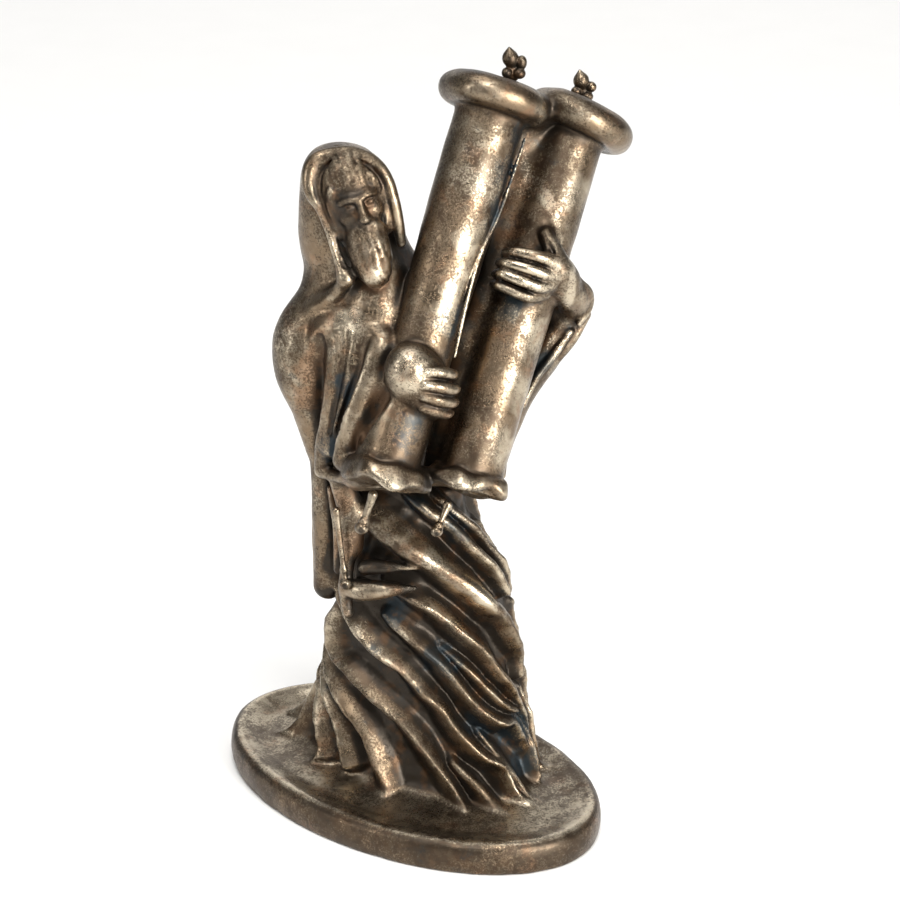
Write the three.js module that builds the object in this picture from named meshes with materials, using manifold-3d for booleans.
// A small silvered statuette: a bearded man in a prayer shawl who cradles a two-roller scroll.
// The robed figure, the rollers with their discs, and the oval base are one casting.
// Two bud finials, two roller handles and one shawl tassel are small pieces soldered to it.
// Millimetres, +Z up. The origin is the centre of the flat underside, and the figure faces -Y.

import * as THREE from "three";
import { mergeVertices } from "three/addons/utils/BufferGeometryUtils.js";
import Module from "manifold-3d";

const wasm = await Module();
wasm.setup();

// Driving dimensions.
const BASE = { long: 62.6, short: 38.6, height: 9.5, dish: 1.6, rim: 6, turn: -0.68 };
const SKIRT = { foot: 7.5, waist: 96, folds: 12, foldDepth: 2.4 };
const SWING = { low: 1.6, high: 2.4 };
const ROLLER = { disc: 15.5, discThick: 8.6, plate: 11.8, plateThick: 3.6 };
const ROLLERS = {
  right: { low: [-7, -22, 110], high: [23.4, 22, 203], radius: 9.6 },
  left: { low: [15.2, -16, 103.5], high: [46.2, 31, 194], radius: 8.8 },
};
// The finials were soldered on a little off the rollers' axes.
const FINIAL_SHIFT = { right: 4, left: 0.4 };
const SOLDER_GAP = 0.3;

const vec = (p) => new THREE.Vector3(...p);
const lerp = THREE.MathUtils.lerp;
const smooth = THREE.MathUtils.smoothstep;

// A closed geometry as a solid that can be joined or cut.
function solidOf(geometry) {
  const bare = geometry.index ? geometry.toNonIndexed() : geometry.clone();
  for (const name of Object.keys(bare.attributes)) {
    if (name !== "position") bare.deleteAttribute(name);
  }
  const merged = mergeVertices(bare, 1e-3);
  return new wasm.Manifold(
    new wasm.Mesh({
      numProp: 3,
      vertProperties: merged.attributes.position.array,
      triVerts: new Uint32Array(merged.index.array),
    }),
  );
}

function geometryOf(solid) {
  const mesh = solid.getMesh();
  const geometry = new THREE.BufferGeometry();
  geometry.setAttribute("position", new THREE.BufferAttribute(mesh.vertProperties, 3));
  geometry.setIndex(new THREE.BufferAttribute(mesh.triVerts, 1));
  geometry.computeVertexNormals();
  return geometry;
}

const joined = (geometries) =>
  geometries.map(solidOf).reduce((whole, solid) => whole.add(solid));

// Moves every vertex of a geometry to where place(vertex) says.
function reshaped(geometry, place) {
  const position = geometry.getAttribute("position");
  for (let i = 0; i < position.count; i++) {
    const moved = place(new THREE.Vector3().fromBufferAttribute(position, i));
    position.setXYZ(i, moved.x, moved.y, moved.z);
  }
  return geometry;
}

function ellipsoid(centre, radii, turn = [0, 0, 0], sides = 14, rings = 10) {
  const geometry = new THREE.SphereGeometry(1, sides, rings);
  const place = new THREE.Matrix4().compose(
    vec(centre),
    new THREE.Quaternion().setFromEuler(new THREE.Euler(...turn)),
    vec(radii),
  );
  return geometry.applyMatrix4(place);
}

// A round-ended form swept along stations: each has a centre, a width and a depth.
// Width is measured across the path, level with the ground, and depth at a right angle to both.
function swept(stations, { sides = 12, rings = 10, blunt = 4, across = [1, 0, 0] } = {}) {
  const path = new THREE.CatmullRomCurve3(stations.map((s) => vec(s.at)));
  const sizes = new THREE.CatmullRomCurve3(
    stations.map((s) => new THREE.Vector3(s.wide, s.deep ?? s.wide, 0)),
  );
  const geometry = new THREE.SphereGeometry(1, sides, rings).rotateX(Math.PI / 2);
  return reshaped(geometry, (v) => {
    const t = Math.acos(THREE.MathUtils.clamp(v.z, -1, 1)) / Math.PI;
    const round = Math.sqrt(Math.max(0, 1 - Math.abs(2 * t - 1) ** blunt));
    const angle = Math.atan2(v.y, v.x);
    const onAxis = Math.hypot(v.x, v.y) < 1e-6;
    const centre = path.getPoint(t);
    const size = sizes.getPoint(t);
    const forward = path.getTangent(t).negate();
    const depth = new THREE.Vector3().crossVectors(forward, vec(across)).normalize();
    const width = new THREE.Vector3().crossVectors(depth, forward).normalize();
    const reach = onAxis ? 0 : round;
    return centre
      .addScaledVector(width, Math.cos(angle) * size.x * reach)
      .addScaledVector(depth, Math.sin(angle) * size.y * reach);
  });
}

// Turns and moves a geometry made along +Z so that its foot is at low and its axis points to high.
function stoodOn(geometry, low, high) {
  const direction = vec(high).sub(vec(low)).normalize();
  const turn = new THREE.Quaternion().setFromUnitVectors(new THREE.Vector3(0, 0, 1), direction);
  return geometry.applyQuaternion(turn).translate(...low);
}

const lathed = (outline, sides) =>
  new THREE.LatheGeometry(
    outline.map(([r, z]) => new THREE.Vector2(r, z)),
    sides,
  ).rotateX(Math.PI / 2);

// The oval base: a rounded wall, a low raised rim and a slightly dished top.
function baseForm() {
  const { long, height, rim, dish } = BASE;
  const wall = new THREE.Path();
  wall.moveTo(long - 2.4, 0);
  wall.quadraticCurveTo(long + 0.6, height * 0.35, long - 1, height * 0.78);
  wall.quadraticCurveTo(long - 2.4, height * 1.04, long - rim * 0.8, height);
  wall.quadraticCurveTo(long - rim - 1, height - dish, long - rim * 2.2, height - dish);
  const outline = wall.getPoints(3).map((p) => [p.x, p.y]);
  const form = lathed([[0, 0], ...outline, [0, height - dish]], 36);
  return form.scale(1, BASE.short / long, 1).rotateZ(BASE.turn);
}

// The skirt's cloth as ovals: height, centre x and y, half width, half depth and turn.
const SKIRT_OVALS = [
  [5.5, 6, 5, 37.5, 24, -0.68],
  [14, 5.5, 5, 33, 22.5, -0.66],
  [26, 4.5, 5, 30, 21, -0.55],
  [42, 3.6, 4.5, 29.4, 20, -0.36],
  [57, 3.4, 4, 27, 19, -0.22],
  [66, 3.2, 4, 26, 18, -0.18],
  [73, 2.6, 4, 23, 16.5, -0.15],
  [82, 1.6, 4, 17.6, 14.5, -0.15],
  [96, 0.5, 4, 15, 13, -0.15],
];

// The oval at any height, on straight runs between the listed ones.
function skirtOval(z) {
  const above = Math.max(1, SKIRT_OVALS.findIndex((row) => row[0] >= z));
  const [low, high] = [SKIRT_OVALS[above - 1], SKIRT_OVALS[above]];
  const part = (z - low[0]) / (high[0] - low[0]);
  const [, x, y, wide, deep, turn] = low.map((value, i) => lerp(value, high[i], part));
  return { x, y, wide, deep, turn };
}

// How far round the body a fold has swung at a height, in radians, counted from the foot.
function foldSwing(z) {
  const steps = 24;
  let swing = 0;
  for (let i = 0; i < steps; i++) {
    const at = lerp(SKIRT.foot, z, (i + 0.5) / steps);
    swing += ((z - SKIRT.foot) / steps) * lerp(SWING.low, SWING.high, smooth(at, 18, 66));
  }
  return THREE.MathUtils.degToRad(swing);
}

// A fold's height, from 0 in a valley to 1 on its crest.
const foldCrest = (phase) => (0.5 + 0.5 * Math.cos(2 * Math.PI * phase)) ** 1.35;

// The cloth's seams follow the folds round the body, so every crest is one unbroken ridge.
function skirtForm() {
  const sides = SKIRT.folds * 6;
  const cloth = new THREE.CylinderGeometry(1, 1, 1, sides, 12).rotateX(Math.PI / 2);
  return reshaped(cloth, (v) => {
    const z = lerp(SKIRT.foot - 2, SKIRT.waist - 0.01, v.z + 0.5);
    const reach = Math.hypot(v.x, v.y);
    const round = Math.atan2(v.y, v.x);
    const angle = round - foldSwing(Math.max(z, SKIRT.foot));
    const oval = skirtOval(z);
    const depth = SKIRT.foldDepth * lerp(0.6, 1, smooth(SKIRT.waist - z, 0, 30));
    const out = depth * (foldCrest((round / (2 * Math.PI)) * SKIRT.folds) * 1.5 - 0.8);
    return new THREE.Vector3(
      Math.cos(angle) * (oval.wide + out) * reach,
      Math.sin(angle) * (oval.deep + out) * reach,
      0,
    )
      .applyAxisAngle(new THREE.Vector3(0, 0, 1), oval.turn)
      .add(new THREE.Vector3(oval.x, oval.y, z));
  });
}

// One roller: the rolled scroll, the thick round disc above it and the thin plate below it.
function rollerForm({ low, high, radius }) {
  const tall = vec(high).distanceTo(vec(low));
  const { disc, discThick, plate, plateThick } = ROLLER;
  const half = discThick / 2;
  const outline = [[0, 0], [plate - 1, 0], [plate, plateThick / 2], [plate - 1, plateThick]];
  outline.push([radius, plateThick + 1], [radius, tall - half]);
  for (let i = 0; i <= 5; i++) {
    const a = lerp(-Math.PI / 2, Math.PI / 2, i / 5);
    outline.push([disc - half + half * Math.cos(a), tall + half * Math.sin(a)]);
  }
  outline.push([0, tall + half - 0.8]);
  return stoodOn(lathed(outline, 18), low, high);
}

// The shawl: one cloth from the hood over the shoulders to a straight hem behind the knees.
// Each station is a height, the cloth's right and left edges there, and its front and back.
function cloakForms() {
  const stations = [
    [193.6, -26, -12, 6, 18],
    [188, -29, -8, 3, 21],
    [179, -30.2, -4.4, 2, 23],
    [168.5, -31, -2, 3, 25],
    [160, -29.8, 2, 3, 27],
    [152, -28.6, 13, 2, 28],
    [143, -30, 22, 0, 28],
    [132, -31, 23, 0, 27],
    [118, -30, 20, 0, 26],
    [102, -27.4, 16, 0, 25],
    [82, -27.8, 14, 0, 25],
    [60, -27.8, 15, 0, 24],
  ];
  const cloak = swept(
    stations.map(([z, right, left, front, back]) => ({
      at: [(right + left) / 2, (front + back) / 2, z],
      wide: (left - right) / 2,
      deep: (back - front) / 2,
    })),
    { sides: 22, rings: 16, blunt: 5 },
  );
  const elbow = swept(
    [
      { at: [-14, 12, 152], wide: 7, deep: 9 },
      { at: [-24, 10, 144.5], wide: 8.4, deep: 10 },
      { at: [-29.3, 8, 135], wide: 9, deep: 10 },
      { at: [-25.4, 8, 117], wide: 6.5, deep: 9 },
    ],
    { sides: 14, rings: 10 },
  );
  const panel = swept(
    [
      { at: [-28.5, 6, 134], wide: 6.5, deep: 8 },
      { at: [-25.4, 3, 112], wide: 4.8, deep: 6 },
      { at: [-24, 3, 90], wide: 3.8, deep: 6 },
      { at: [-23.6, 4, 61], wide: 4.4, deep: 6 },
    ],
    { sides: 14, rings: 14, blunt: 8 },
  );
  return [cloak, elbow, panel];
}

// The head inside the hood, turned a little to its left, with a long beard down the chest.
function headForms() {
  const rim = swept(
    [
      { at: [-5, -1, 166], wide: 2.6 },
      { at: [-4.5, 1, 178], wide: 2.6 },
      { at: [-9, 3, 190], wide: 2.8 },
      { at: [-18, 4, 193.5], wide: 2.8 },
      { at: [-26, 4, 186], wide: 2.8 },
      { at: [-25.5, 1, 176], wide: 2.8 },
      { at: [-21, -3, 162], wide: 2.8 },
    ],
    { sides: 8, rings: 18, across: [0, 1, 0] },
  );
  const face = ellipsoid([-14, 2, 180.5], [8.2, 7, 10.5], [0.1, 0.2, 0.25], 16, 12);
  const nose = ellipsoid([-12.6, -5, 179.6], [1.5, 1.9, 3], [0.3, 0.2, 0.25], 8, 8);
  const beard = swept(
    [
      { at: [-13.5, -1, 177], wide: 6.6, deep: 3.8 },
      { at: [-11.4, -4.5, 170], wide: 6, deep: 3.8 },
      { at: [-8.6, -6.5, 160.5], wide: 4.6, deep: 3.4 },
    ],
    { sides: 12, rings: 8 },
  );
  return [rim, face, nose, beard];
}

// A hand of four fingers laid side by side from the knuckles, each bent over what it holds.
function handForms({ palm, size, turn, knuckle, step, reach, bend, thick }) {
  const fingers = [];
  for (let i = 0; i < 4; i++) {
    const root = vec(knuckle).addScaledVector(vec(step), i);
    const middle = root.clone().addScaledVector(vec(reach), 0.5);
    const tip = root.clone().add(vec(reach)).add(vec(bend));
    fingers.push(
      swept(
        [root, middle, tip].map((p) => ({ at: p.toArray(), wide: thick })),
        { sides: 7, rings: 6, across: [0, 0.3, 1] },
      ),
    );
  }
  return [ellipsoid(palm, size, turn, 12, 8), ...fingers];
}

function rightArmForms() {
  const chest = swept(
    [
      { at: [-8, 2, 160], wide: 9, deep: 8 },
      { at: [-9, -1, 146], wide: 14, deep: 9 },
      { at: [-8, -3, 128], wide: 15, deep: 9 },
      { at: [-4, -3, 108], wide: 15, deep: 10 },
      { at: [-1, -1, 88], wide: 15, deep: 10 },
    ],
    { sides: 14, rings: 10 },
  );
  const cuffFold = swept([
    { at: [-4.5, -15, 148], wide: 2.6 },
    { at: [-9, -18, 138], wide: 3 },
    { at: [-14, -20, 124], wide: 3 },
    { at: [-17, -20, 110], wide: 3 },
  ]);
  const innerFold = swept([
    { at: [-14, -8, 152], wide: 3 },
    { at: [-18, -12, 140], wide: 3.2 },
    { at: [-21, -12, 124], wide: 3.2 },
    { at: [-20, -13, 106], wide: 3 },
  ]);
  const shoulderFold = swept([
    { at: [-24, 0, 152], wide: 3.5, deep: 4 },
    { at: [-27, -2, 138], wide: 4, deep: 5 },
    { at: [-26, -3, 120], wide: 3, deep: 5 },
    { at: [-24, -3, 100], wide: 3, deep: 5 },
  ]);
  const hand = handForms({
    palm: [3, -17.5, 141],
    size: [7.4, 7, 7.5],
    turn: [0, 0.3, 0],
    knuckle: [8.4, -20.5, 142.5],
    step: [-1.1, 0.1, -3.1],
    reach: [3.8, 0.8, -1.5],
    bend: [0.4, 2, -0.3],
    thick: 1.7,
  });
  return [chest, cuffFold, innerFold, shoulderFold, ...hand];
}

function leftArmForms() {
  const sleeve = swept(
    [
      { at: [20, 18, 152], wide: 7, deep: 8 },
      { at: [36, 19, 147], wide: 6, deep: 8 },
      { at: [46, 14, 146], wide: 5, deep: 5.5 },
      { at: [42, 8, 152], wide: 4, deep: 5 },
      { at: [38, 4, 157], wide: 4, deep: 5 },
    ],
    { rings: 16, across: [0, 0, 1] },
  );
  const drape = swept([
    { at: [46.6, 17, 144], wide: 3.4, deep: 7 },
    { at: [40.5, 14.5, 134.5], wide: 3.6, deep: 9 },
    { at: [27, 9, 119], wide: 3.4, deep: 9 },
    { at: [21.5, 5, 103], wide: 3.4, deep: 8 },
  ]);
  const hand = handForms({
    palm: [38, 6, 156],
    size: [5, 5, 6.6],
    turn: [0, -0.5, 0],
    knuckle: [36.2, 4.2, 161.5],
    step: [-0.9, -1.6, -3.1],
    reach: [-8, 0.4, 1.4],
    bend: [-2.2, 3, -0.4],
    thick: 1.7,
  });
  return [sleeve, drape, ...hand];
}

// A thin strap of metal joins the two rollers where they nearly touch.
function rollerWeb() {
  return swept(
    [
      { at: [9.5, -8, 122], wide: 3.4, deep: 4 },
      { at: [33, 25, 192], wide: 4.4, deep: 5 },
    ],
    { rings: 6, sides: 8 },
  );
}

// The whole casting, cut off flat at the floor.
function castingGeometry() {
  const whole = joined([
    baseForm(),
    skirtForm(),
    ...cloakForms(),
    ...headForms(),
    rollerForm(ROLLERS.right),
    rollerForm(ROLLERS.left),
    rollerWeb(),
    ...rightArmForms(),
    ...leftArmForms(),
  ]);
  return geometryOf(whole);
}

// A bud and two berries on a short neck, standing upright above a roller's disc.
function finialGeometry() {
  const neck = lathed([[0, 0], [2.1, 0], [1.9, 2.2], [1.5, 3], [0, 3]], 8);
  const bud = lathed([[0, 3], [2, 4.2], [2.3, 5.8], [1.8, 7.6], [0.9, 9.2], [0, 10.2]], 8);
  const berries = [
    ellipsoid([2.2, -0.3, 4.8], [1.7, 1.7, 2.4], [0, 0, 0], 7, 5),
    ellipsoid([-1.9, 0.6, 3.6], [1.8, 1.8, 1.9], [0, 0, 0], 7, 5),
    ellipsoid([0.5, -1.6, 3], [1.7, 1.7, 1.7], [0, 0, 0], 7, 5),
  ];
  return geometryOf(joined([neck, bud.translate(-0.6, 0, 0), ...berries]));
}

// A tapered rod that ends in a ball: a roller's lower handle, or the shawl's tassel.
function knobbedRod(length, thick, ball) {
  const rod = swept(
    [
      { at: [0, 0, 0], wide: thick },
      { at: [0, 0, length / 2], wide: thick * 0.8 },
      { at: [0, 0, length], wide: thick * 1.15 },
    ],
    { sides: 8, rings: 4, blunt: 12 },
  );
  return geometryOf(joined([rod, ellipsoid([0, 0, 0], [ball, ball, ball], [0, 0, 0], 8, 6)]));
}

const silver = (color, roughness) =>
  new THREE.MeshStandardMaterial({ color, roughness, metalness: 1 });
const TARNISHED = silver(0x8a7867, 0.34);
const BUD = silver(0x7d7060, 0.4);
const KNOB = silver(0xa08c74, 0.35);

function named(name, geometry, material, at = [0, 0, 0]) {
  const mesh = new THREE.Mesh(geometry, material);
  mesh.name = name;
  mesh.position.set(...at);
  return mesh;
}

// The top of a roller's disc, on the roller's axis and above it by the solder gap.
function discTop({ low, high }) {
  const axis = vec(high).sub(vec(low)).normalize();
  return vec(high).addScaledVector(axis, ROLLER.discThick / 2 + SOLDER_GAP);
}

// A rod stood between two points: its ball is at the low one.
function rodBetween(name, low, high, thick, ball) {
  const mesh = named(name, knobbedRod(vec(low).distanceTo(vec(high)), thick, ball), KNOB, low);
  const direction = vec(high).sub(vec(low)).normalize();
  mesh.quaternion.setFromUnitVectors(new THREE.Vector3(0, 0, 1), direction);
  return mesh;
}

const statuette = new THREE.Group();
statuette.add(named("statuette", castingGeometry(), TARNISHED));
for (const [side, roller] of Object.entries(ROLLERS)) {
  const top = discTop(roller).add(new THREE.Vector3(FINIAL_SHIFT[side], 0, 0.4));
  statuette.add(named(`finial_${side}`, finialGeometry(), BUD, top.toArray()));
}
statuette.add(rodBetween("roller_handle_right", [-13, -27, 97], [-9.6, -25, 107.5], 1.1, 1.9));
statuette.add(rodBetween("roller_handle_left", [7.5, -25, 95], [11, -20.5, 102], 1.1, 1.8));
statuette.add(rodBetween("shawl_tassel", [-18, -14, 73.5], [-21, -11, 96], 0.9, 1.8));

export default statuette;
